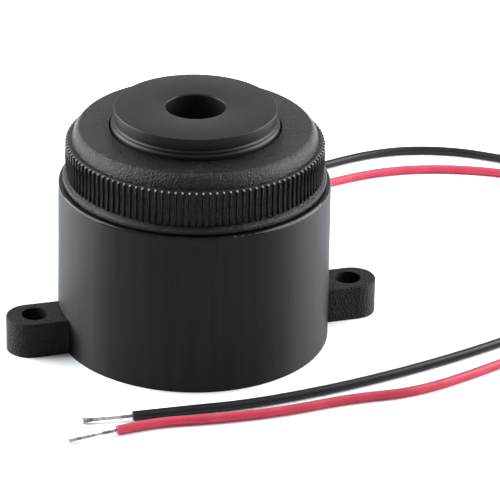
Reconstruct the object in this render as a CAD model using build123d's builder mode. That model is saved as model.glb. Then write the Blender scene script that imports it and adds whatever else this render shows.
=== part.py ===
from build123d import *
import os
from math import radians, tan

# Piezo buzzer with two mounting lugs and two flying leads. Millimetres, +Z up.
# The origin is on the mounting plane, on the axis of the round body. The lugs lie along X.
# The leads leave through a notch at the back (+Y) and lie on the mounting plane.

# ---------------------------------------------------------------- driving dimensions
# base housing
foot_radius = 21.2
rim_radius = 21.0
rim_height = 25.9
rim_round = 0.4
bore_radius = 19.1
neck_radius = 18.2
neck_height = 31.0
neck_bore_radius = 16.6
bore_top = 22.4
neck_bore_bottom = 24.0

# mounting lugs
hole_spacing = 50.8
lug_hole_radius = 2.08
lug_width = 7.2
lug_reach = 29.9
lug_height = 5.7
lug_edge_round = 0.3

# notch for the leads, in the back of the wall
notch_width = 5.4
notch_height = 3.0
notch_corner = 1.0
cut_margin = 1.0

# stop ribs inside the housing
rib_count = 4
rib_width = 1.6
rib_depth = 1.3
rib_start_angle = 45

# knurled cap
flange_radius = 20.3
flange_bottom = 26.1
flange_height = 0.7
flange_chamfer = 0.45
knurl_root_radius = 19.55
ridge_count = 120
ridge_height = 0.4
ridge_foot_width = 0.66
ridge_top_width = 0.3
ridge_top = 32.75
ledge_height = 32.8
shoulder_foot_radius = 18.9
crown_radius = 17.8
crown_height = 34.95
crown_edge_round = 0.25
shoulder_curve_radius = 3.2
recess_radius = 13.2
recess_floor = 33.9
port_opening_radius = 10.8
ceiling_height = 32.8

# sound disc
disc_radius = 12.45
disc_height = 38.05
disc_edge_round = 0.2
disc_flange_radius = 12.95
disc_flange_top = 35.42
disc_step_radius = 12.7
disc_step_top = 36.2
disc_step_edge = 36.0
disc_step_bottom = 35.7
port_radius = 4.6
port_chamfer = 0.25
spigot_bottom = 33.0
spigot_bore_radius = 9.4

# diaphragm and its mounting
support_ring_thickness = 0.8
support_ring_bore_radius = 15.4
support_ring_clearance = 0.1
plate_radius = 17.5
plate_thickness = 0.3
ceramic_radius = 12.5
ceramic_thickness = 0.25
seal_bore_radius = 15.6
dot_radius = 0.9
dot_height = 0.4
wire_bend_low = 13.0
wire_bend_high = 25.0
wire_bend_radius = 3.0

# circuit board and its parts
board_radius = 18.8
board_bottom = 6.0
board_thickness = 1.6
pin_radius = 0.3
joint_radius = 0.55
joint_tip_radius = 0.3
joint_height = 0.7

# inductor: a drum core on two pins
core_radius = 4.0
core_post_radius = 2.0
core_flange = 1.2
core_height = 8.0
core_pin_offset = 2.5
winding_radius = 3.6

# supply capacitor
can_radius = 2.5
can_height = 7.0
can_gap = 0.3
can_round = 0.4
can_pin_offset = 1.0

# driver transistor
case_radius = 2.4
case_flat = 1.2
case_height = 4.8
case_gap = 2.2
leg_pitch = 1.27
leg_depth_in_case = 0.5

# resistors and diode
resistor_radius = 0.9
resistor_length = 3.6
resistor_pin_pitch = 7.6
diode_radius = 1.25
diode_length = 4.6
diode_pin_pitch = 8.4

# potting resin
resin_bottom = 0.8
resin_notch_reach = 20.9

# leads
lead_radius = 0.7
lead_spacing = 2.6
lead_rest_height = 0.72
lead_settling_height = 0.95
lead_exit_height = 1.8
lead_start_y = 13.5
crossing_height = 2.5
strand_radius = 0.28
strand_straight_run = 4.0
tail_bend_radius = 1.0
tail_y = 11.5
bend_share = 0.45

# The route of each lead's centre line, from inside the resin to the stripped end. The leads curl
# round to the right of the body and come back past its front. The black one crosses over the
# red one on the way, on a low hump with a point each side of the crossing.
black_route = [
    (-lead_spacing / 2, lead_start_y, lead_exit_height),
    (-lead_spacing / 2, 22.5, lead_exit_height),
    (0.5, 31.0, lead_settling_height),
    (8.5, 40.0, lead_rest_height),
    (20.5, 45.6, lead_rest_height),
    (34.5, 50.6, lead_rest_height),
    (49.5, 54.9, lead_rest_height),
    (61.6, 52.3, lead_rest_height),
    (71.3, 44.9, lead_rest_height),
    (75.7, 37.8, crossing_height),
    (77.7, 29.3, crossing_height),
    (78.0, 17.5, lead_rest_height),
    (74.0, 5.5, lead_rest_height),
    (66.0, -4.5, lead_rest_height),
    (55.5, -13.8, lead_rest_height),
    (42.5, -18.9, lead_rest_height),
    (28.0, -23.1, lead_rest_height),
    (14.0, -25.9, lead_rest_height),
    (1.0, -27.15, lead_rest_height),
    (-8.5, -26.55, lead_rest_height),
    (-16.6, -26.3, lead_rest_height),
]
red_route = [
    (lead_spacing / 2, lead_start_y, lead_exit_height),
    (lead_spacing / 2, 21.8, lead_exit_height),
    (3.8, 29.2, lead_settling_height),
    (10.8, 35.2, lead_rest_height),
    (21.5, 39.8, lead_rest_height),
    (33.5, 43.8, lead_rest_height),
    (47.4, 47.1, lead_rest_height),
    (60.1, 44.8, lead_rest_height),
    (71.5, 38.5, lead_rest_height),
    (82.5, 28.8, lead_rest_height),
    (88.0, 16.0, lead_rest_height),
    (86.0, 3.5, lead_rest_height),
    (78.5, -6.5, lead_rest_height),
    (66.0, -14.0, lead_rest_height),
    (53.0, -20.1, lead_rest_height),
    (39.5, -25.8, lead_rest_height),
    (27.0, -29.85, lead_rest_height),
    (17.0, -29.2, lead_rest_height),
    (6.0, -30.5, lead_rest_height),
    (-5.0, -30.2, lead_rest_height),
    (-13.5, -28.9, lead_rest_height),
    (-19.9, -29.9, lead_rest_height),
]
strand_tips = {"black": (-24.2, -25.4, 0.5), "red": (-27.4, -30.7, 0.5)}

# Places on the circuit board, as x, y
inductor_place = (-8.0, 3.5)
capacitor_place = (8.0, 6.5)
transistor_place = (4.5, -6.0)
resistor_places = {
    "bias_resistor": (-7.0, -5.0),
    "feedback_resistor": (-7.0, -8.5),
    "discharge_resistor": (-5.0, -12.0),
}
diode_place = (11.5, -3.5)
wire_places = {
    "drive_wire": ((0.5, 5.0), (1.5, 4.0)),
    "feedback_wire": ((1.5, 0.0), (6.5, -8.5)),
    "ground_wire": ((-1.5, -15.0), (-8.5, -11.05)),
}

# ---------------------------------------------------------------- worked-out levels
board_top = board_bottom + board_thickness
support_top = neck_height + support_ring_thickness
plate_top = support_top + plate_thickness
ceramic_bottom = support_top - ceramic_thickness
knurl_radius = knurl_root_radius + ridge_height
knurl_bottom = flange_bottom + flange_height + flange_chamfer

os.makedirs("parts", exist_ok=True)


def bend_radii(route):
    """Returns one radius for each corner: a share of its shorter run over the tangent of half its turn."""
    points = [Vector(point) for point in route]
    radii = []
    for before, corner, after in zip(points, points[1:], points[2:]):
        run_in = corner - before
        run_out = after - corner
        half_turn = radians(run_in.get_angle(run_out)) / 2
        radii.append(bend_share * min(run_in.length, run_out.length) / tan(half_turn))
    return radii


def tube(route, radius, radii):
    """Returns a round tube along straight runs joined by tangent arcs."""
    with BuildPart() as round_tube:
        with BuildLine() as centre_line:
            FilletPolyline(*route, radius=radii)
        with BuildSketch(Plane(centre_line.line @ 0, z_dir=centre_line.line % 0)):
            Circle(radius)
        sweep()
    return round_tube.part


def flat_ring(outer_radius, inner_radius, bottom, top):
    """Returns a flat ring, or a disc if the inner radius is 0."""
    with BuildPart() as ring:
        with BuildSketch(Plane.XY.offset(bottom)):
            Circle(outer_radius)
            if inner_radius:
                Circle(inner_radius, mode=Mode.SUBTRACT)
        extrude(amount=top - bottom)
    return ring.part


def axial_part(place, direction, body_radius, body_length, pin_pitch):
    """Returns a lying round body with its wire bent down through the board, and its two pin places."""
    upright = Plane((*place, 0), x_dir=direction, z_dir=Vector(direction).cross(Vector(0, 0, 1)))
    half_pitch = pin_pitch / 2
    wire_height = board_top + body_radius
    with BuildPart() as component:
        with BuildLine(upright) as wire_line:
            FilletPolyline(
                (-half_pitch, board_bottom),
                (-half_pitch, wire_height),
                (half_pitch, wire_height),
                (half_pitch, board_bottom),
                radius=2 * pin_radius,
            )
        with BuildSketch(Plane(wire_line.line @ 0, z_dir=wire_line.line % 0)):
            Circle(pin_radius)
        sweep()
        body_centre = Vector(*place, wire_height)
        with BuildSketch(Plane(body_centre, z_dir=direction)):
            Circle(body_radius)
        extrude(amount=body_length / 2, both=True)
    pins = [tuple(Vector(*place) + Vector(direction) * side * half_pitch)[:2] for side in (-1, 1)]
    return component.part, pins


def save(part, name):
    """Labels a finished piece and writes it to its own STEP file."""
    part.label = name
    export_step(part, f"parts/{name}.step")


# ---------------------------------------------------------------- base housing
with BuildPart() as base_housing:
    with BuildSketch(Plane.XZ):
        with BuildLine():
            Polyline(
                (bore_radius, 0),
                (foot_radius, 0),
                (rim_radius, rim_height),
                (neck_radius, rim_height),
                (neck_radius, neck_height),
                (neck_bore_radius, neck_height),
                (neck_bore_radius, neck_bore_bottom),
                (bore_radius, bore_top),
                close=True,
            )
        make_face()
    revolve(axis=Axis.Z)
    rim_edge = base_housing.edges().filter_by_position(Axis.Z, rim_height, rim_height)
    fillet(rim_edge.sort_by(SortBy.RADIUS)[-1], rim_round)

    with BuildSketch():
        SlotOverall(2 * lug_reach, lug_width)
        Circle((bore_radius + rim_radius) / 2, mode=Mode.SUBTRACT)
    extrude(amount=lug_height)
    lug_top_edges = base_housing.edges().filter_by_position(Axis.Z, lug_height, lug_height)
    outer_lug_edges = lug_top_edges.filter_by(lambda edge: edge.radius < lug_width
                                              if edge.geom_type == GeomType.CIRCLE else True)
    fillet(outer_lug_edges, lug_edge_round)
    with Locations((0, 0, lug_height)):
        with GridLocations(hole_spacing, 0, 2, 1):
            Hole(lug_hole_radius, depth=lug_height)

    with BuildSketch(Plane((0, bore_radius - cut_margin, 0), x_dir=(-1, 0, 0), z_dir=(0, 1, 0))) as notch:
        Rectangle(notch_width, 2 * notch_height)
        fillet(notch.vertices(), notch_corner)
    extrude(amount=foot_radius - bore_radius + 2 * cut_margin, mode=Mode.SUBTRACT)

    with BuildSketch(Plane.XY.offset(board_top)):
        with PolarLocations(bore_radius, rib_count, start_angle=rib_start_angle):
            Rectangle(2 * rib_depth, rib_width)
        Circle((bore_radius + rim_radius) / 2, mode=Mode.INTERSECT)
    extrude(amount=bore_top - board_top)
save(base_housing.part, "base_housing")

# ---------------------------------------------------------------- knurled cap
with BuildPart() as knurled_cap:
    with BuildSketch(Plane.XZ) as cap_section:
        with BuildLine():
            Polyline(
                (crown_radius, crown_height),
                (recess_radius, crown_height),
                (recess_radius, recess_floor),
                (port_opening_radius, recess_floor),
                (port_opening_radius, ceiling_height),
                (neck_radius, ceiling_height),
                (neck_radius, flange_bottom),
                (flange_radius, flange_bottom),
                (flange_radius, flange_bottom + flange_height),
                (knurl_root_radius, knurl_bottom),
                (knurl_root_radius, ledge_height),
                (shoulder_foot_radius, ledge_height),
            )
            RadiusArc(
                (shoulder_foot_radius, ledge_height),
                (crown_radius, crown_height),
                -shoulder_curve_radius,
            )
        make_face()
        fillet(cap_section.vertices().sort_by(Axis.Y)[-1:], crown_edge_round)
    revolve(axis=Axis.Z)

    with BuildSketch(Plane.XY.offset(knurl_bottom - flange_chamfer)):
        with PolarLocations(knurl_root_radius, ridge_count):
            Polygon(
                (-ridge_height, -ridge_foot_width / 2),
                (0, -ridge_foot_width / 2),
                (ridge_height, -ridge_top_width / 2),
                (ridge_height, ridge_top_width / 2),
                (0, ridge_foot_width / 2),
                (-ridge_height, ridge_foot_width / 2),
                align=None,
            )
    extrude(amount=ridge_top - knurl_bottom + flange_chamfer)
save(knurled_cap.part, "knurled_cap")

# ---------------------------------------------------------------- sound disc
with BuildPart() as sound_disc:
    with BuildSketch(Plane.XZ) as disc_section:
        with BuildLine():
            Polyline(
                (port_radius, disc_height),
                (disc_radius, disc_height),
                (disc_radius, disc_step_top),
                (disc_step_radius, disc_step_edge),
                (disc_step_radius, disc_step_bottom),
                (disc_flange_radius, disc_flange_top),
                (disc_flange_radius, recess_floor),
                (port_opening_radius, recess_floor),
                (port_opening_radius, spigot_bottom),
                (spigot_bore_radius, spigot_bottom),
                (spigot_bore_radius, recess_floor),
                (port_radius, recess_floor),
                close=True,
            )
        make_face()
        top_corners = disc_section.vertices().group_by(Axis.Y)[-1]
        chamfer(top_corners.sort_by(Axis.X)[0], port_chamfer)
        top_corners = disc_section.vertices().group_by(Axis.Y)[-1]
        fillet(top_corners.sort_by(Axis.X)[-1], disc_edge_round)
    revolve(axis=Axis.Z)
save(sound_disc.part, "sound_disc")

# ---------------------------------------------------------------- diaphragm and its mounting


support_ring_radius = neck_radius - support_ring_clearance
save(flat_ring(support_ring_radius, support_ring_bore_radius, neck_height, support_top), "support_ring")
save(flat_ring(plate_radius, 0, support_top, plate_top), "diaphragm_plate")
save(flat_ring(ceramic_radius, 0, ceramic_bottom, support_top), "piezo_ceramic")
save(flat_ring(plate_radius, seal_bore_radius, plate_top, ceiling_height), "seal_ring")

# The ground wire is soldered to the brass beyond the ceramic, the other two to the ceramic.
dot_roofs = {"drive_wire": ceramic_bottom, "feedback_wire": ceramic_bottom, "ground_wire": support_top}
with BuildPart() as diaphragm_solder:
    for name, roof in dot_roofs.items():
        dot_x, dot_y = wire_places[name][1]
        with Locations((dot_x, dot_y, roof)):
            Cone(pin_radius, dot_radius, dot_height, align=(Align.CENTER, Align.CENTER, Align.MAX))
save(diaphragm_solder.part, "diaphragm_solder")

# ---------------------------------------------------------------- wires to the diaphragm
for name, ((board_x, board_y), (dot_x, dot_y)) in wire_places.items():
    wire_route = [
        (board_x, board_y, board_bottom),
        (board_x, board_y, wire_bend_low),
        (dot_x, dot_y, wire_bend_high),
        (dot_x, dot_y, dot_roofs[name] - dot_height),
    ]
    save(tube(wire_route, pin_radius, [wire_bend_radius] * 2), name)

# ---------------------------------------------------------------- parts on the circuit board
# Every pin runs down through the board to its lower face. pin_places collects their places.
pin_places = [board_place for board_place, dot_place in wire_places.values()]

# drum core of the inductor, standing on two pins
inductor_pins = [(inductor_place[0] + side * core_pin_offset, inductor_place[1]) for side in (-1, 1)]
with BuildPart() as inductor_core:
    with Locations((*inductor_place, board_top)):
        Cylinder(core_radius, core_flange, align=(Align.CENTER, Align.CENTER, Align.MIN))
        Cylinder(core_post_radius, core_height, align=(Align.CENTER, Align.CENTER, Align.MIN))
    with Locations((*inductor_place, board_top + core_height)):
        Cylinder(core_radius, core_flange, align=(Align.CENTER, Align.CENTER, Align.MAX))
    with BuildSketch(Plane.XY.offset(board_bottom)):
        with Locations(*inductor_pins):
            Circle(pin_radius)
    extrude(amount=board_thickness + core_flange / 2)
save(inductor_core.part, "inductor_core")
pin_places += inductor_pins

with BuildPart() as inductor_winding:
    with BuildSketch(Plane((*inductor_place, board_top + core_flange))):
        Circle(winding_radius)
        Circle(core_post_radius, mode=Mode.SUBTRACT)
    extrude(amount=core_height - 2 * core_flange)
save(inductor_winding.part, "inductor_winding")

# electrolytic capacitor, standing just clear of the board
capacitor_pins = [(capacitor_place[0], capacitor_place[1] + side * can_pin_offset) for side in (-1, 1)]
with BuildPart() as supply_capacitor:
    with BuildSketch(Plane((*capacitor_place, board_top + can_gap))):
        Circle(can_radius)
    extrude(amount=can_height)
    fillet(supply_capacitor.edges().filter_by(GeomType.CIRCLE), can_round)
    with BuildSketch(Plane.XY.offset(board_bottom)):
        with Locations(*capacitor_pins):
            Circle(pin_radius)
    extrude(amount=board_thickness + 2 * can_gap)
save(supply_capacitor.part, "supply_capacitor")
pin_places += capacitor_pins

# transistor: a half-round body on three legs
transistor_pins = [(transistor_place[0] + leg_pitch * step, transistor_place[1]) for step in (-1, 0, 1)]
with BuildPart() as driver_transistor:
    with BuildSketch(Plane((*transistor_place, board_top + case_gap))):
        Circle(case_radius)
        with Locations((0, -case_flat)):
            Rectangle(2 * case_radius, case_radius, align=(Align.CENTER, Align.MAX), mode=Mode.SUBTRACT)
    extrude(amount=case_height)
    with BuildSketch(Plane.XY.offset(board_bottom)):
        with Locations(*transistor_pins):
            Circle(pin_radius)
    extrude(amount=board_thickness + case_gap + leg_depth_in_case)
save(driver_transistor.part, "driver_transistor")
pin_places += transistor_pins


for name, place in resistor_places.items():
    resistor, resistor_pins = axial_part(
        place, (1, 0, 0), resistor_radius, resistor_length, resistor_pin_pitch)
    save(resistor, name)
    pin_places += resistor_pins
polarity_diode, diode_pins = axial_part(
    diode_place, (0, 1, 0), diode_radius, diode_length, diode_pin_pitch)
save(polarity_diode, "polarity_diode")
pin_places += diode_pins

# ---------------------------------------------------------------- leads and their ends
lead_routes = {"black": black_route, "red": red_route}
lead_tubes = {}
for colour, route in lead_routes.items():
    radii = bend_radii(route)
    print(colour, "lead radii", [round(radius, 1) for radius in radii])
    lead_tubes[colour] = tube(route, lead_radius, radii)
    save(lead_tubes[colour], f"{colour}_lead")

# Stripped ends: each starts square on its lead's end face and goes on in line with it.
for colour, route in lead_routes.items():
    end = Vector(route[-1])
    last_run = (end - Vector(route[-2])).normalized()
    strand_bend = end + last_run * strand_straight_run
    strand_route = [end, strand_bend, Vector(strand_tips[colour])]
    save(tube(strand_route, strand_radius, bend_radii(strand_route)), f"{colour}_strands")

# Bare tails inside the resin, from the leads' inner ends up to the board
tail_places = [(side * lead_spacing / 2, tail_y) for side in (-1, 1)]
with BuildPart() as lead_tails:
    for tail_x, tail_end_y in tail_places:
        tail_route = [
            (tail_x, lead_start_y, lead_exit_height),
            (tail_x, tail_end_y, lead_exit_height),
            (tail_x, tail_end_y, board_top),
        ]
        add(tube(tail_route, pin_radius, [tail_bend_radius]))
save(lead_tails.part, "lead_tails")

# ---------------------------------------------------------------- circuit board and solder
with BuildPart() as circuit_board:
    with BuildSketch(Plane.XY.offset(board_bottom)):
        Circle(board_radius)
        with Locations(*pin_places, *tail_places):
            Circle(pin_radius, mode=Mode.SUBTRACT)
    extrude(amount=board_thickness)
save(circuit_board.part, "circuit_board")

with BuildPart() as solder_joints:
    with Locations(*[(x, y, board_bottom) for x, y in pin_places]):
        Cone(joint_tip_radius, joint_radius, joint_height, align=(Align.CENTER, Align.CENTER, Align.MAX))
    with Locations(*[(x, y, board_top) for x, y in tail_places]):
        Cone(joint_radius, joint_tip_radius, joint_height, align=(Align.CENTER, Align.CENTER, Align.MIN))
save(solder_joints.part, "solder_joints")

# ---------------------------------------------------------------- potting resin
with BuildPart() as potting_resin:
    with BuildSketch(Plane.XY.offset(resin_bottom)):
        Circle(bore_radius)
    extrude(amount=board_bottom - resin_bottom)
    extrude(notch.sketch, amount=resin_notch_reach - bore_radius + cut_margin)
    with BuildSketch(Plane.XY.offset(-notch_height)):
        Circle(2 * bore_radius)
    extrude(amount=notch_height + resin_bottom, mode=Mode.SUBTRACT)
    for buried_part in (solder_joints.part, lead_tails.part, *lead_tubes.values()):
        add(buried_part, mode=Mode.SUBTRACT)
save(potting_resin.part, "potting_resin")
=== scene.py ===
import math

import bmesh
import bpy
from mathutils import Matrix, Vector


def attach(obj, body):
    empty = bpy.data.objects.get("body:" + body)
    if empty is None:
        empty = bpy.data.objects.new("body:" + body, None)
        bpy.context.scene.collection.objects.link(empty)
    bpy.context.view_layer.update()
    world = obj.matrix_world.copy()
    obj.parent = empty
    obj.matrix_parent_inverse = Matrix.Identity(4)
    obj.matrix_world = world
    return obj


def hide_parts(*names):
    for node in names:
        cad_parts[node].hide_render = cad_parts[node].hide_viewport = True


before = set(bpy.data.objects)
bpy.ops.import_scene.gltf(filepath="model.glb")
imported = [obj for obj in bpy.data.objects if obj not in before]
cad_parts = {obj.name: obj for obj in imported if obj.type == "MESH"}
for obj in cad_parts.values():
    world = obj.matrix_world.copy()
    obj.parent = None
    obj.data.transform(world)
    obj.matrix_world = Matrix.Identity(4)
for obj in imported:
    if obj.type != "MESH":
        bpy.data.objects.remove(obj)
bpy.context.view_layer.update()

MM = 0.001
FULL_TURN = 2 * math.pi
ROUND_STEPS = 240
SAME_PLACE = 0.001

# ---------------------------------------------------------------- sizes, in millimetres
RIM_ROUND_START = 25.5
HEIGHT_BLEND = 0.05
LUG_START = 21.1
LUG_BLEND = 0.6
CAP_FLANGE_BOTTOM = 26.1
CAP_FLANGE_TOP = 26.8
CAP_FLANGE_RADIUS = 20.3
KNURL_BOTTOM = 27.25
KNURL_TOP = 32.75
KNURL_ROOT_RADIUS = 19.55
KNURL_RIDGES = 120
RIDGE_HEIGHT = 0.4
RIDGE_WIDTH = 0.36
RIDGE_END_ROUND = 0.3
# length of each ridge's top end that is painted pale as a painted highlight (glint)
GLINT_PAINTED_END = 0.2
LEDGE_HEIGHT = 32.8
SHOULDER_FOOT_RADIUS = 18.9
SHOULDER_MIDDLE_RADIUS = 18.62
SHOULDER_MIDDLE_HEIGHT = 34.05
CROWN_RADIUS = 17.8
CROWN_HEIGHT = 34.95
RECESS_RADIUS = 13.2
RECESS_FLOOR = 33.9
NECK_RADIUS = 18.2
CEILING_HEIGHT = 32.8
PORT_OPENING_RADIUS = 10.8
DISC_RADIUS = 12.45
DISC_HEIGHT = 38.05
DISC_STEP_TOP = 36.2
DISC_STEP_RADIUS = 12.7
DISC_STEP_EDGE = 36.0
DISC_STEP_BOTTOM = 35.7
DISC_FLANGE_TOP = 35.42
DISC_FLANGE_RADIUS = 12.95
PORT_RADIUS = 4.6
SPIGOT_BOTTOM = 33.0
SPIGOT_BORE_RADIUS = 9.4

BLACK_WIRE_TIP = (-24.2, -25.4, 0.5)
RED_WIRE_TIP = (-27.4, -30.7, 0.5)
STRAND_RADIUS = 0.095
STRAND_STEPS = 40
STRAND_STRAIGHT_RUN = 4.0
STRAND_ROOT = 0.3
OUTER_STRANDS = 6
LEAD_DIAMETER = 1.4
LEAD_SPACING = 2.6
LEAD_START_Y = 13.5
LEAD_EXIT_HEIGHT = 1.8
LEAD_REST_HEIGHT = 0.72
CROSSING_HEIGHT = 2.5

# Each lead's route, from inside the resin to its stripped end
BLACK_ROUTE = [
    (-LEAD_SPACING / 2, LEAD_START_Y, LEAD_EXIT_HEIGHT),
    (-LEAD_SPACING / 2, 22.5, LEAD_EXIT_HEIGHT),
    (0.5, 31.0, 0.95),
    (8.5, 40.0, LEAD_REST_HEIGHT),
    (20.5, 45.6, LEAD_REST_HEIGHT),
    (34.5, 50.6, LEAD_REST_HEIGHT),
    (49.5, 54.9, LEAD_REST_HEIGHT),
    (61.6, 52.3, LEAD_REST_HEIGHT),
    (71.3, 44.9, LEAD_REST_HEIGHT),
    (75.7, 37.8, CROSSING_HEIGHT),
    (77.7, 29.3, CROSSING_HEIGHT),
    (78.0, 17.5, LEAD_REST_HEIGHT),
    (74.0, 5.5, LEAD_REST_HEIGHT),
    (66.0, -4.5, LEAD_REST_HEIGHT),
    (55.5, -13.8, LEAD_REST_HEIGHT),
    (42.5, -18.9, LEAD_REST_HEIGHT),
    (28.0, -23.1, LEAD_REST_HEIGHT),
    (14.0, -25.9, LEAD_REST_HEIGHT),
    (1.0, -27.15, LEAD_REST_HEIGHT),
    (-8.5, -26.55, LEAD_REST_HEIGHT),
    (-16.6, -26.3, LEAD_REST_HEIGHT),
]
RED_ROUTE = [
    (LEAD_SPACING / 2, LEAD_START_Y, LEAD_EXIT_HEIGHT),
    (LEAD_SPACING / 2, 21.8, LEAD_EXIT_HEIGHT),
    (3.8, 29.2, 0.95),
    (10.8, 35.2, LEAD_REST_HEIGHT),
    (21.5, 39.8, LEAD_REST_HEIGHT),
    (33.5, 43.8, LEAD_REST_HEIGHT),
    (47.4, 47.1, LEAD_REST_HEIGHT),
    (60.1, 44.8, LEAD_REST_HEIGHT),
    (71.5, 38.5, LEAD_REST_HEIGHT),
    (82.5, 28.8, LEAD_REST_HEIGHT),
    (88.0, 16.0, LEAD_REST_HEIGHT),
    (86.0, 3.5, LEAD_REST_HEIGHT),
    (78.5, -6.5, LEAD_REST_HEIGHT),
    (66.0, -14.0, LEAD_REST_HEIGHT),
    (53.0, -20.1, LEAD_REST_HEIGHT),
    (39.5, -25.8, LEAD_REST_HEIGHT),
    (27.0, -29.85, LEAD_REST_HEIGHT),
    (17.0, -29.2, LEAD_REST_HEIGHT),
    (6.0, -30.5, LEAD_REST_HEIGHT),
    (-5.0, -30.2, LEAD_REST_HEIGHT),
    (-13.5, -28.9, LEAD_REST_HEIGHT),
    (-19.9, -29.9, LEAD_REST_HEIGHT),
]


# ---------------------------------------------------------------- camera
def place_camera():
    """Looks down at the object from the front, a little from its left."""
    azimuth = math.radians(-16.95)
    elevation = math.radians(26.35)
    roll = math.radians(1.22)
    distance = 500 * MM
    aim = Vector((8.35, -2.55, 13.84)) * MM
    back = Vector((
        math.sin(azimuth) * math.cos(elevation),
        -math.cos(azimuth) * math.cos(elevation),
        math.sin(elevation),
    ))
    right = Vector((math.cos(azimuth), math.sin(azimuth), 0))
    up = back.cross(right)
    turned_right = right * math.cos(roll) + up * math.sin(roll)
    turned_up = up * math.cos(roll) - right * math.sin(roll)
    data = bpy.data.cameras.new("camera")
    data.sensor_width = 36
    data.lens = 231.4
    data.clip_start = 0.01
    data.clip_end = 10
    camera = bpy.data.objects.new("camera", data)
    axes = Matrix((turned_right, turned_up, back)).transposed().to_4x4()
    camera.matrix_world = Matrix.Translation(aim + back * distance) @ axes
    bpy.context.scene.collection.objects.link(camera)
    bpy.context.scene.camera = camera


place_camera()


# ---------------------------------------------------------------- materials
def new_material(name, colour, roughness, metallic=0.0, specular=0.5):
    """Makes a material and returns it with its node tree and its shader."""
    material = bpy.data.materials.new(name)
    material.use_nodes = True
    tree = material.node_tree
    shader = tree.nodes["Principled BSDF"]
    shader.inputs["Base Color"].default_value = (*colour, 1)
    shader.inputs["Roughness"].default_value = roughness
    shader.inputs["Metallic"].default_value = metallic
    shader.inputs["Specular IOR Level"].default_value = specular
    return material, tree, shader


def object_noise(tree, scale, detail=2.0, stretch=(1, 1, 1)):
    """Adds a noise pattern that sticks to the piece, and returns its value output."""
    coordinates = tree.nodes.new("ShaderNodeTexCoord")
    mapping = tree.nodes.new("ShaderNodeMapping")
    mapping.inputs["Scale"].default_value = stretch
    noise = tree.nodes.new("ShaderNodeTexNoise")
    noise.inputs["Scale"].default_value = scale
    noise.inputs["Detail"].default_value = detail
    tree.links.new(coordinates.outputs["Object"], mapping.inputs["Vector"])
    tree.links.new(mapping.outputs["Vector"], noise.inputs["Vector"])
    return noise.outputs["Fac"]


def vary_roughness(tree, shader, source, low, high):
    """Lets a pattern move the roughness between two values."""
    spread = tree.nodes.new("ShaderNodeMapRange")
    spread.inputs["From Min"].default_value = 0.3
    spread.inputs["From Max"].default_value = 0.7
    spread.inputs["To Min"].default_value = low
    spread.inputs["To Max"].default_value = high
    tree.links.new(source, spread.inputs["Value"])
    tree.links.new(spread.outputs["Result"], shader.inputs["Roughness"])


def vary_colour(tree, shader, source, dark, light):
    """Lets a pattern move the colour between two shades."""
    ramp = tree.nodes.new("ShaderNodeValToRGB")
    first, last = ramp.color_ramp.elements
    first.position = 0.35
    first.color = (*dark, 1)
    last.position = 0.65
    last.color = (*light, 1)
    tree.links.new(source, ramp.inputs["Fac"])
    tree.links.new(ramp.outputs["Color"], shader.inputs["Base Color"])


def by_height(tree, socket, height, below, above):
    """Gives a shader socket one value below a height on the piece and another value above it."""
    coordinates = tree.nodes.new("ShaderNodeTexCoord")
    split = tree.nodes.new("ShaderNodeSeparateXYZ")
    step = tree.nodes.new("ShaderNodeMapRange")
    step.inputs["From Min"].default_value = (height - HEIGHT_BLEND) * MM
    step.inputs["From Max"].default_value = (height + HEIGHT_BLEND) * MM
    step.inputs["To Min"].default_value = below
    step.inputs["To Max"].default_value = above
    tree.links.new(coordinates.outputs["Object"], split.inputs["Vector"])
    tree.links.new(split.outputs["Z"], step.inputs["Value"])
    tree.links.new(step.outputs["Result"], socket)


def add_bump(tree, shader, source, height):
    """Raises the surface by a pattern, up to a height in millimetres, and returns the bump."""
    bump = tree.nodes.new("ShaderNodeBump")
    bump.inputs["Distance"].default_value = height * MM
    bump.inputs["Strength"].default_value = 1.0
    tree.links.new(source, bump.inputs["Height"])
    tree.links.new(bump.outputs["Normal"], shader.inputs["Normal"])
    return bump


def moulded_plastic(name, dark, light, roughness, grain_scale, grain_height, specular):
    """Moulded black plastic with a fine grain and slightly uneven gloss."""
    smoothest, roughest = roughness
    material, tree, shader = new_material(name, light, roughest, specular=specular)
    vary_colour(tree, shader, object_noise(tree, 90), dark, light)
    vary_roughness(tree, shader, object_noise(tree, 220, 3), smoothest, roughest)
    add_bump(tree, shader, object_noise(tree, grain_scale, 3), grain_height)
    return material


def rough_on_lugs(tree, bump):
    """Turns a bump almost off on the round wall, and leaves it on where the lugs stick out."""
    coordinates = tree.nodes.new("ShaderNodeTexCoord")
    split = tree.nodes.new("ShaderNodeSeparateXYZ")
    reach = tree.nodes.new("ShaderNodeMath")
    reach.operation = "ABSOLUTE"
    strength = tree.nodes.new("ShaderNodeMapRange")
    strength.inputs["From Min"].default_value = LUG_START * MM
    strength.inputs["From Max"].default_value = (LUG_START + LUG_BLEND) * MM
    strength.inputs["To Min"].default_value = 0.01
    strength.inputs["To Max"].default_value = 1.0
    tree.links.new(coordinates.outputs["Object"], split.inputs["Vector"])
    tree.links.new(split.outputs["X"], reach.inputs[0])
    tree.links.new(reach.outputs[0], strength.inputs["Value"])
    tree.links.new(strength.outputs["Result"], bump.inputs["Strength"])


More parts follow.
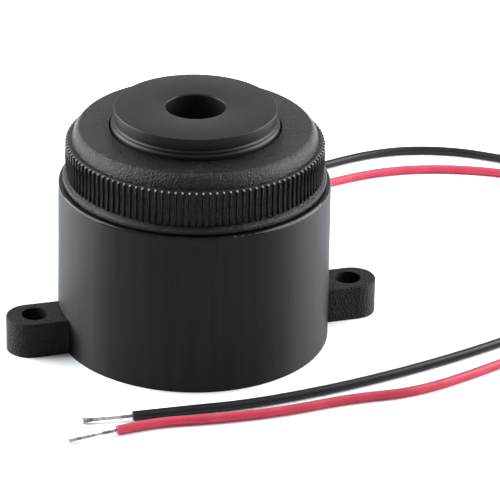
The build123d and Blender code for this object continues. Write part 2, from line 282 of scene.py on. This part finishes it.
def housing_plastic():
    """Satin plastic drawn upwards out of its mould, which stretches what it mirrors up and down."""
    material, tree, shader = new_material("housing_plastic", (0.006, 0.006, 0.006), 0.48, specular=0.12)
    drawn_streaks = object_noise(tree, 700, 2, stretch=(1, 1, 0.04))
    vary_colour(tree, shader, drawn_streaks, (0.0045, 0.0046, 0.0044), (0.0075, 0.0075, 0.007))
    bump = add_bump(tree, shader, object_noise(tree, 3000, 4), 0.4)
    rough_on_lugs(tree, bump)
    upwards = tree.nodes.new("ShaderNodeCombineXYZ")
    upwards.inputs["X"].default_value = 0.01
    upwards.inputs["Y"].default_value = 0.01
    upwards.inputs["Z"].default_value = 1.0
    tree.links.new(upwards.outputs["Vector"], shader.inputs["Tangent"])
    shader.inputs["Anisotropic"].default_value = 0.85
    by_height(tree, shader.inputs["Roughness"], RIM_ROUND_START, 0.48, 0.14)
    return material


def cap_plastic():
    return moulded_plastic("cap_plastic", (0.003, 0.003, 0.0028), (0.005, 0.005, 0.0047),
                           roughness=(0.22, 0.3), grain_scale=3600, grain_height=0.26, specular=0.17)


def ridge_plastic():
    """The cap's plastic, with a painted highlight: where the ridges end at the ledge their tops are
    painted pale to stand for glints.
    """
    black = (0.004, 0.004, 0.0038)
    # painted highlight: a pale colour put on the ridges' top ends to stand for glints
    painted_glint_colour = (0.24, 0.24, 0.235)
    material, tree, shader = new_material("ridge_plastic", black, 0.2, specular=0.17)
    vary_roughness(tree, shader, object_noise(tree, 220, 3), 0.18, 0.24)
    add_bump(tree, shader, object_noise(tree, 2600, 3), 0.005)
    painted_glint_mix = tree.nodes.new("ShaderNodeMix")
    painted_glint_mix.data_type = "RGBA"
    painted_glint_mix.inputs["A"].default_value = (*black, 1)
    painted_glint_mix.inputs["B"].default_value = (*painted_glint_colour, 1)
    by_height(tree, painted_glint_mix.inputs["Factor"], KNURL_TOP - GLINT_PAINTED_END, 0.0, 1.0)
    tree.links.new(painted_glint_mix.outputs["Result"], shader.inputs["Base Color"])
    return material


def disc_plastic():
    return moulded_plastic("disc_plastic", (0.005, 0.005, 0.005), (0.007, 0.007, 0.007),
                           roughness=(0.35, 0.41), grain_scale=3400, grain_height=0.015, specular=0.14)


def insulation(name, dark, light, roughness):
    """Soft flexible plastic drawn along the lead, with faint scuffs."""
    material, tree, shader = new_material(name, light, roughness, specular=0.22)
    vary_colour(tree, shader, object_noise(tree, 300, 3), dark, light)
    vary_roughness(tree, shader, object_noise(tree, 900, 2), roughness - 0.06, roughness + 0.08)
    add_bump(tree, shader, object_noise(tree, 1800, 2), 0.01)
    return material


def bare_metal(name, dark, light, roughness):
    material, tree, shader = new_material(name, light, roughness, metallic=1.0)
    vary_colour(tree, shader, object_noise(tree, 700, 3), dark, light)
    vary_roughness(tree, shader, object_noise(tree, 1500, 2), roughness - 0.06, roughness + 0.1)
    return material


def glossy_resin():
    material, tree, shader = new_material("glossy_resin", (0.01, 0.01, 0.011), 0.12)
    vary_roughness(tree, shader, object_noise(tree, 120, 2), 0.08, 0.2)
    add_bump(tree, shader, object_noise(tree, 160, 2), 0.15)
    return material


def plain_part(name, dark, light, roughness, scale=400):
    material, tree, shader = new_material(name, light, roughness)
    vary_colour(tree, shader, object_noise(tree, scale, 3), dark, light)
    vary_roughness(tree, shader, object_noise(tree, 2 * scale, 2), roughness - 0.05, roughness + 0.05)
    return material


TINNED_WIRE = bare_metal("tinned_wire", (0.16, 0.155, 0.15), (0.5, 0.49, 0.48), 0.26)
HOUSING_PLASTIC = housing_plastic()
CAP_PLASTIC = cap_plastic()
RIDGE_PLASTIC = ridge_plastic()
DISC_PLASTIC = disc_plastic()
BLACK_INSULATION = insulation("black_insulation", (0.006, 0.006, 0.006), (0.01, 0.01, 0.01), 0.34)
RED_INSULATION = insulation("red_insulation", (0.4, 0.034, 0.06), (0.48, 0.045, 0.08), 0.42)
RESIN = glossy_resin()

NODE_MATERIALS = {
    "base_housing": HOUSING_PLASTIC,
    "potting_resin": RESIN,
    "diaphragm_plate": bare_metal("rolled_brass", (0.5, 0.36, 0.13), (0.62, 0.46, 0.2), 0.35),
    "piezo_ceramic": plain_part("silvered_ceramic", (0.6, 0.59, 0.56), (0.72, 0.71, 0.68), 0.5),
    "seal_ring": plain_part("silicone", (0.6, 0.6, 0.58), (0.7, 0.7, 0.68), 0.55),
    "support_ring": plain_part("natural_plastic", (0.62, 0.61, 0.58), (0.7, 0.69, 0.66), 0.5),
    "circuit_board": plain_part("board_laminate", (0.02, 0.11, 0.035), (0.035, 0.15, 0.05), 0.35),
    "inductor_core": plain_part("ferrite", (0.025, 0.025, 0.027), (0.045, 0.045, 0.05), 0.6),
    "inductor_winding": bare_metal("enamelled_wire", (0.35, 0.12, 0.04), (0.5, 0.2, 0.07), 0.35),
    "driver_transistor": plain_part("transistor_case", (0.012, 0.012, 0.013), (0.02, 0.02, 0.022), 0.5),
    "supply_capacitor": plain_part("capacitor_sleeve", (0.012, 0.016, 0.06), (0.02, 0.025, 0.08), 0.3),
    "polarity_diode": plain_part("diode_case", (0.012, 0.012, 0.013), (0.02, 0.02, 0.022), 0.45),
    "bias_resistor": plain_part("resistor_lacquer", (0.45, 0.3, 0.14), (0.55, 0.38, 0.2), 0.35),
    "solder_joints": bare_metal("bright_solder", (0.5, 0.5, 0.5), (0.68, 0.68, 0.68), 0.25),
    "drive_wire": plain_part("white_sleeve", (0.6, 0.6, 0.58), (0.7, 0.7, 0.68), 0.4),
    "feedback_wire": plain_part("blue_sleeve", (0.02, 0.05, 0.25), (0.03, 0.07, 0.32), 0.4),
    "ground_wire": plain_part("green_sleeve", (0.01, 0.14, 0.03), (0.02, 0.2, 0.05), 0.4),
    "lead_tails": TINNED_WIRE,
}
NODE_MATERIALS["feedback_resistor"] = NODE_MATERIALS["bias_resistor"]
NODE_MATERIALS["discharge_resistor"] = NODE_MATERIALS["bias_resistor"]
NODE_MATERIALS["diaphragm_solder"] = NODE_MATERIALS["solder_joints"]

for node_name, node_material in NODE_MATERIALS.items():
    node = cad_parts[node_name]
    node.data.materials.clear()
    node.data.materials.append(node_material)


# ---------------------------------------------------------------- mesh helpers
def finish_piece(name, bm, material, replaced=(), sharp_angle=35):
    """Turns a bmesh in millimetres into a finished piece in metres."""
    bmesh.ops.scale(bm, vec=(MM, MM, MM), verts=bm.verts)
    mesh = bpy.data.meshes.new(name)
    bm.to_mesh(mesh)
    bm.free()
    mesh.materials.append(material)
    mesh.shade_smooth()
    mesh.set_sharp_from_angle(angle=math.radians(sharp_angle))
    piece = bpy.data.objects.new(name, mesh)
    bpy.context.scene.collection.objects.link(piece)
    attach(piece, "root")
    if replaced:
        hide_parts(*replaced)
    return piece


def spun_section(corners):
    """Spins a closed section round the axis. A corner is its radius, its height and its rounding."""
    bm = bmesh.new()
    ring = [bm.verts.new((radius, 0, height)) for radius, height, rounding in corners]
    edges = [bm.edges.new(pair) for pair in zip(ring, ring[1:] + ring[:1])]
    bmesh.ops.spin(bm, geom=ring + edges, cent=(0, 0, 0), axis=(0, 0, 1), dvec=(0, 0, 0),
                   angle=FULL_TURN, steps=ROUND_STEPS, use_merge=True)
    bmesh.ops.recalc_face_normals(bm, faces=bm.faces)
    for radius, height, rounding in corners:
        if rounding:
            round_edge(bm, radius, height, rounding)
    return bm


def round_edge(bm, radius, height, rounding):
    """Rounds the circular edge that lies at this radius and height."""
    def on_circle(vert):
        return abs(vert.co.xy.length - radius) < SAME_PLACE and abs(vert.co.z - height) < SAME_PLACE

    circle = [edge for edge in bm.edges if all(on_circle(vert) for vert in edge.verts)]
    bmesh.ops.bevel(bm, geom=circle, offset=rounding, segments=4, profile=0.5,
                    affect="EDGES", material=-1)


# ---------------------------------------------------------------- leads
def lead_curve(name, route, material, replaced):
    """The insulation of one lead, as a smooth tube along its route."""
    data = bpy.data.curves.new(name, "CURVE")
    data.dimensions = "3D"
    spline = data.splines.new("NURBS")
    spline.points.add(len(route) - 1)
    for point, place in zip(spline.points, route):
        point.co = (*(Vector(place) * MM), 1)
    spline.order_u = 3
    spline.use_endpoint_u = True
    spline.resolution_u = 16
    data.bevel_depth = LEAD_DIAMETER / 2 * MM
    data.bevel_resolution = 8
    data.use_fill_caps = True
    data.materials.append(material)
    lead = bpy.data.objects.new(name, data)
    bpy.context.scene.collection.objects.link(lead)
    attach(lead, "root")
    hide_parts(replaced)
    return lead


def twisted_strands(name, route, tip, turns, spread, replaced):
    """A stripped end: one strand along the middle and six wound round it, which open out at the tip."""
    end = Vector(route[-1])
    heading = (end - Vector(route[-2])).normalized()
    bend = end + heading * STRAND_STRAIGHT_RUN
    tip = Vector(tip)
    data = bpy.data.curves.new(name, "CURVE")
    data.dimensions = "3D"
    data.bevel_depth = STRAND_RADIUS * MM
    data.bevel_resolution = 2
    data.use_fill_caps = True
    for strand in range(OUTER_STRANDS + 1):
        spline = data.splines.new("NURBS")
        spline.points.add(STRAND_STEPS)
        for step, point in enumerate(spline.points):
            share = step / STRAND_STEPS
            middle = (end - heading * STRAND_ROOT).lerp(bend, share).lerp(bend.lerp(tip, share), share)
            turn = FULL_TURN * (strand / OUTER_STRANDS + turns * share)
            reach = 0 if strand == OUTER_STRANDS else 2 * STRAND_RADIUS * (1 + spread * share ** 5)
            side = heading.cross(Vector((0, 0, 1))) * math.cos(turn) + Vector((0, 0, math.sin(turn)))
            point.co = (*((middle + side * reach) * MM), 1)
        spline.order_u = 3
        spline.use_endpoint_u = True
    wound = bpy.data.objects.new(name, data)
    bpy.context.scene.collection.objects.link(wound)
    mesh = bpy.data.meshes.new_from_object(wound)
    bpy.data.objects.remove(wound)
    mesh.materials.clear()
    mesh.materials.append(TINNED_WIRE)
    piece = bpy.data.objects.new(name, mesh)
    bpy.context.scene.collection.objects.link(piece)
    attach(piece, "root")
    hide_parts(replaced)
    return piece


black_strands = twisted_strands("black_wire_strands", BLACK_ROUTE, BLACK_WIRE_TIP,
                                turns=3.0, spread=0.9, replaced="black_strands")
red_strands = twisted_strands("red_wire_strands", RED_ROUTE, RED_WIRE_TIP,
                              turns=2.6, spread=0.5, replaced="red_strands")

black_lead = lead_curve("black_lead_insulation", BLACK_ROUTE, BLACK_INSULATION,
                        replaced="black_lead")
red_lead = lead_curve("red_lead_insulation", RED_ROUTE, RED_INSULATION,
                      replaced="red_lead")


# ---------------------------------------------------------------- knurled cap
def cap_shell():
    """Flange, knurled band, ledge, shoulder and crown in one hollow turned shape."""
    return spun_section([
        (CROWN_RADIUS, CROWN_HEIGHT, 0.25),
        (RECESS_RADIUS, CROWN_HEIGHT, 0.08),
        (RECESS_RADIUS, RECESS_FLOOR, 0),
        (PORT_OPENING_RADIUS, RECESS_FLOOR, 0),
        (PORT_OPENING_RADIUS, CEILING_HEIGHT, 0),
        (NECK_RADIUS, CEILING_HEIGHT, 0),
        (NECK_RADIUS, CAP_FLANGE_BOTTOM, 0),
        (CAP_FLANGE_RADIUS, CAP_FLANGE_BOTTOM, 0.12),
        (CAP_FLANGE_RADIUS, CAP_FLANGE_TOP, 0.15),
        (KNURL_ROOT_RADIUS, KNURL_BOTTOM, 0),
        (KNURL_ROOT_RADIUS, LEDGE_HEIGHT, 0.08),
        (SHOULDER_FOOT_RADIUS, LEDGE_HEIGHT, 0),
        (SHOULDER_MIDDLE_RADIUS, SHOULDER_MIDDLE_HEIGHT, 0.7),
    ])


def knurl_ridges():
    """One ridge, a thin rounded bar with rounded ends, repeated all round."""
    bm = bmesh.new()
    bmesh.ops.create_uvsphere(bm, u_segments=8, v_segments=6, radius=1)
    bmesh.ops.scale(bm, vec=(RIDGE_HEIGHT, RIDGE_WIDTH / 2, RIDGE_END_ROUND), verts=bm.verts)
    half_length = (KNURL_TOP - KNURL_BOTTOM) / 2 - RIDGE_END_ROUND
    for side in (-1, 1):
        end = [vert for vert in bm.verts if vert.co.z * side > RIDGE_END_ROUND / 10]
        bmesh.ops.translate(bm, vec=(0, 0, side * half_length), verts=end)
    middle = (KNURL_TOP + KNURL_BOTTOM) / 2
    bmesh.ops.translate(bm, vec=(KNURL_ROOT_RADIUS, 0, middle), verts=bm.verts)
    ridge = list(bm.verts) + list(bm.edges) + list(bm.faces)
    bmesh.ops.spin(bm, geom=ridge, cent=(0, 0, 0), axis=(0, 0, 1), dvec=(0, 0, 0),
                   angle=FULL_TURN * (KNURL_RIDGES - 1) / KNURL_RIDGES, steps=KNURL_RIDGES - 1,
                   use_duplicate=True)
    bmesh.ops.recalc_face_normals(bm, faces=bm.faces)
    return bm


finish_piece("cap_shell", cap_shell(), CAP_PLASTIC, ["knurled_cap"])
finish_piece("knurl_ridges", knurl_ridges(), RIDGE_PLASTIC, ["knurled_cap"], 80)


# ---------------------------------------------------------------- sound disc
def sound_disc():
    """Raised disc with the sound port, a stepped flange at its foot and a short spigot below."""
    return spun_section([
        (PORT_RADIUS, DISC_HEIGHT, 0.25),
        (DISC_RADIUS, DISC_HEIGHT, 0.15),
        (DISC_RADIUS, DISC_STEP_TOP, 0),
        (DISC_STEP_RADIUS, DISC_STEP_EDGE, 0.06),
        (DISC_STEP_RADIUS, DISC_STEP_BOTTOM, 0),
        (DISC_FLANGE_RADIUS, DISC_FLANGE_TOP, 0.1),
        (DISC_FLANGE_RADIUS, RECESS_FLOOR, 0),
        (PORT_OPENING_RADIUS, RECESS_FLOOR, 0),
        (PORT_OPENING_RADIUS, SPIGOT_BOTTOM, 0),
        (SPIGOT_BORE_RADIUS, SPIGOT_BOTTOM, 0),
        (SPIGOT_BORE_RADIUS, RECESS_FLOOR, 0),
        (PORT_RADIUS, RECESS_FLOOR, 0),
    ])


finish_piece("sound_port_disc", sound_disc(), DISC_PLASTIC, ["sound_disc"])


# ---------------------------------------------------------------- studio
SOFTBOX_WIDTH = 0.22
SOFTBOX_HEIGHT = 0.4
SOFTBOX_COLOUR = (0.9, 0.95, 1.0)


def studio_floor():
    """A wide sheet of white paper."""
    bm = bmesh.new()
    bmesh.ops.create_grid(bm, x_segments=1, y_segments=1, size=3)
    mesh = bpy.data.meshes.new("studio_floor")
    bm.to_mesh(mesh)
    bm.free()
    floor = bpy.data.objects.new("studio_floor", mesh)
    bpy.context.scene.collection.objects.link(floor)
    floor.data.materials.append(new_material("floor_paper", (0.86, 0.86, 0.86), 0.9, specular=0.1)[0])


def studio_world():
    """A white room, which the camera, gloss and glass see in full and which lights the object less."""
    world = bpy.data.worlds.new("studio")
    world.use_nodes = True
    tree = world.node_tree
    background = tree.nodes["Background"]
    light_path = tree.nodes.new("ShaderNodeLightPath")
    seen = tree.nodes.new("ShaderNodeMath")
    seen.operation = "MAXIMUM"
    tree.links.new(light_path.outputs["Is Camera Ray"], seen.inputs[0])
    tree.links.new(light_path.outputs["Is Glossy Ray"], seen.inputs[1])
    also_seen = tree.nodes.new("ShaderNodeMath")
    also_seen.operation = "MAXIMUM"
    tree.links.new(seen.outputs[0], also_seen.inputs[0])
    tree.links.new(light_path.outputs["Is Transmission Ray"], also_seen.inputs[1])
    strength = tree.nodes.new("ShaderNodeMapRange")
    strength.inputs["To Min"].default_value = 0.35
    strength.inputs["To Max"].default_value = 1.0
    tree.links.new(also_seen.outputs[0], strength.inputs["Value"])
    tree.links.new(strength.outputs["Result"], background.inputs["Strength"])
    background.inputs["Color"].default_value = (1, 1, 1, 1)
    bpy.context.scene.world = world


def soft_lamp(name, place, power):
    """An upright softbox that stands beside the object and faces its axis. Its place is in metres."""
    data = bpy.data.lights.new(name, "AREA")
    data.shape = "RECTANGLE"
    data.size = SOFTBOX_WIDTH
    data.size_y = SOFTBOX_HEIGHT
    data.energy = power
    data.color = SOFTBOX_COLOUR
    lamp = bpy.data.objects.new(name, data)
    heading = Vector((0, 0, place[2])) - Vector(place)
    turn = heading.to_track_quat("-Z", "Y").to_matrix().to_4x4()
    lamp.matrix_world = Matrix.Translation(place) @ turn
    bpy.context.scene.collection.objects.link(lamp)


studio_floor()
studio_world()
soft_lamp("left_softbox", (-0.219, 0.121, 0.2), 3.6)
soft_lamp("right_softbox", (0.25, -0.004, 0.2), 3.3)

bpy.context.scene.view_settings.view_transform = "Standard"
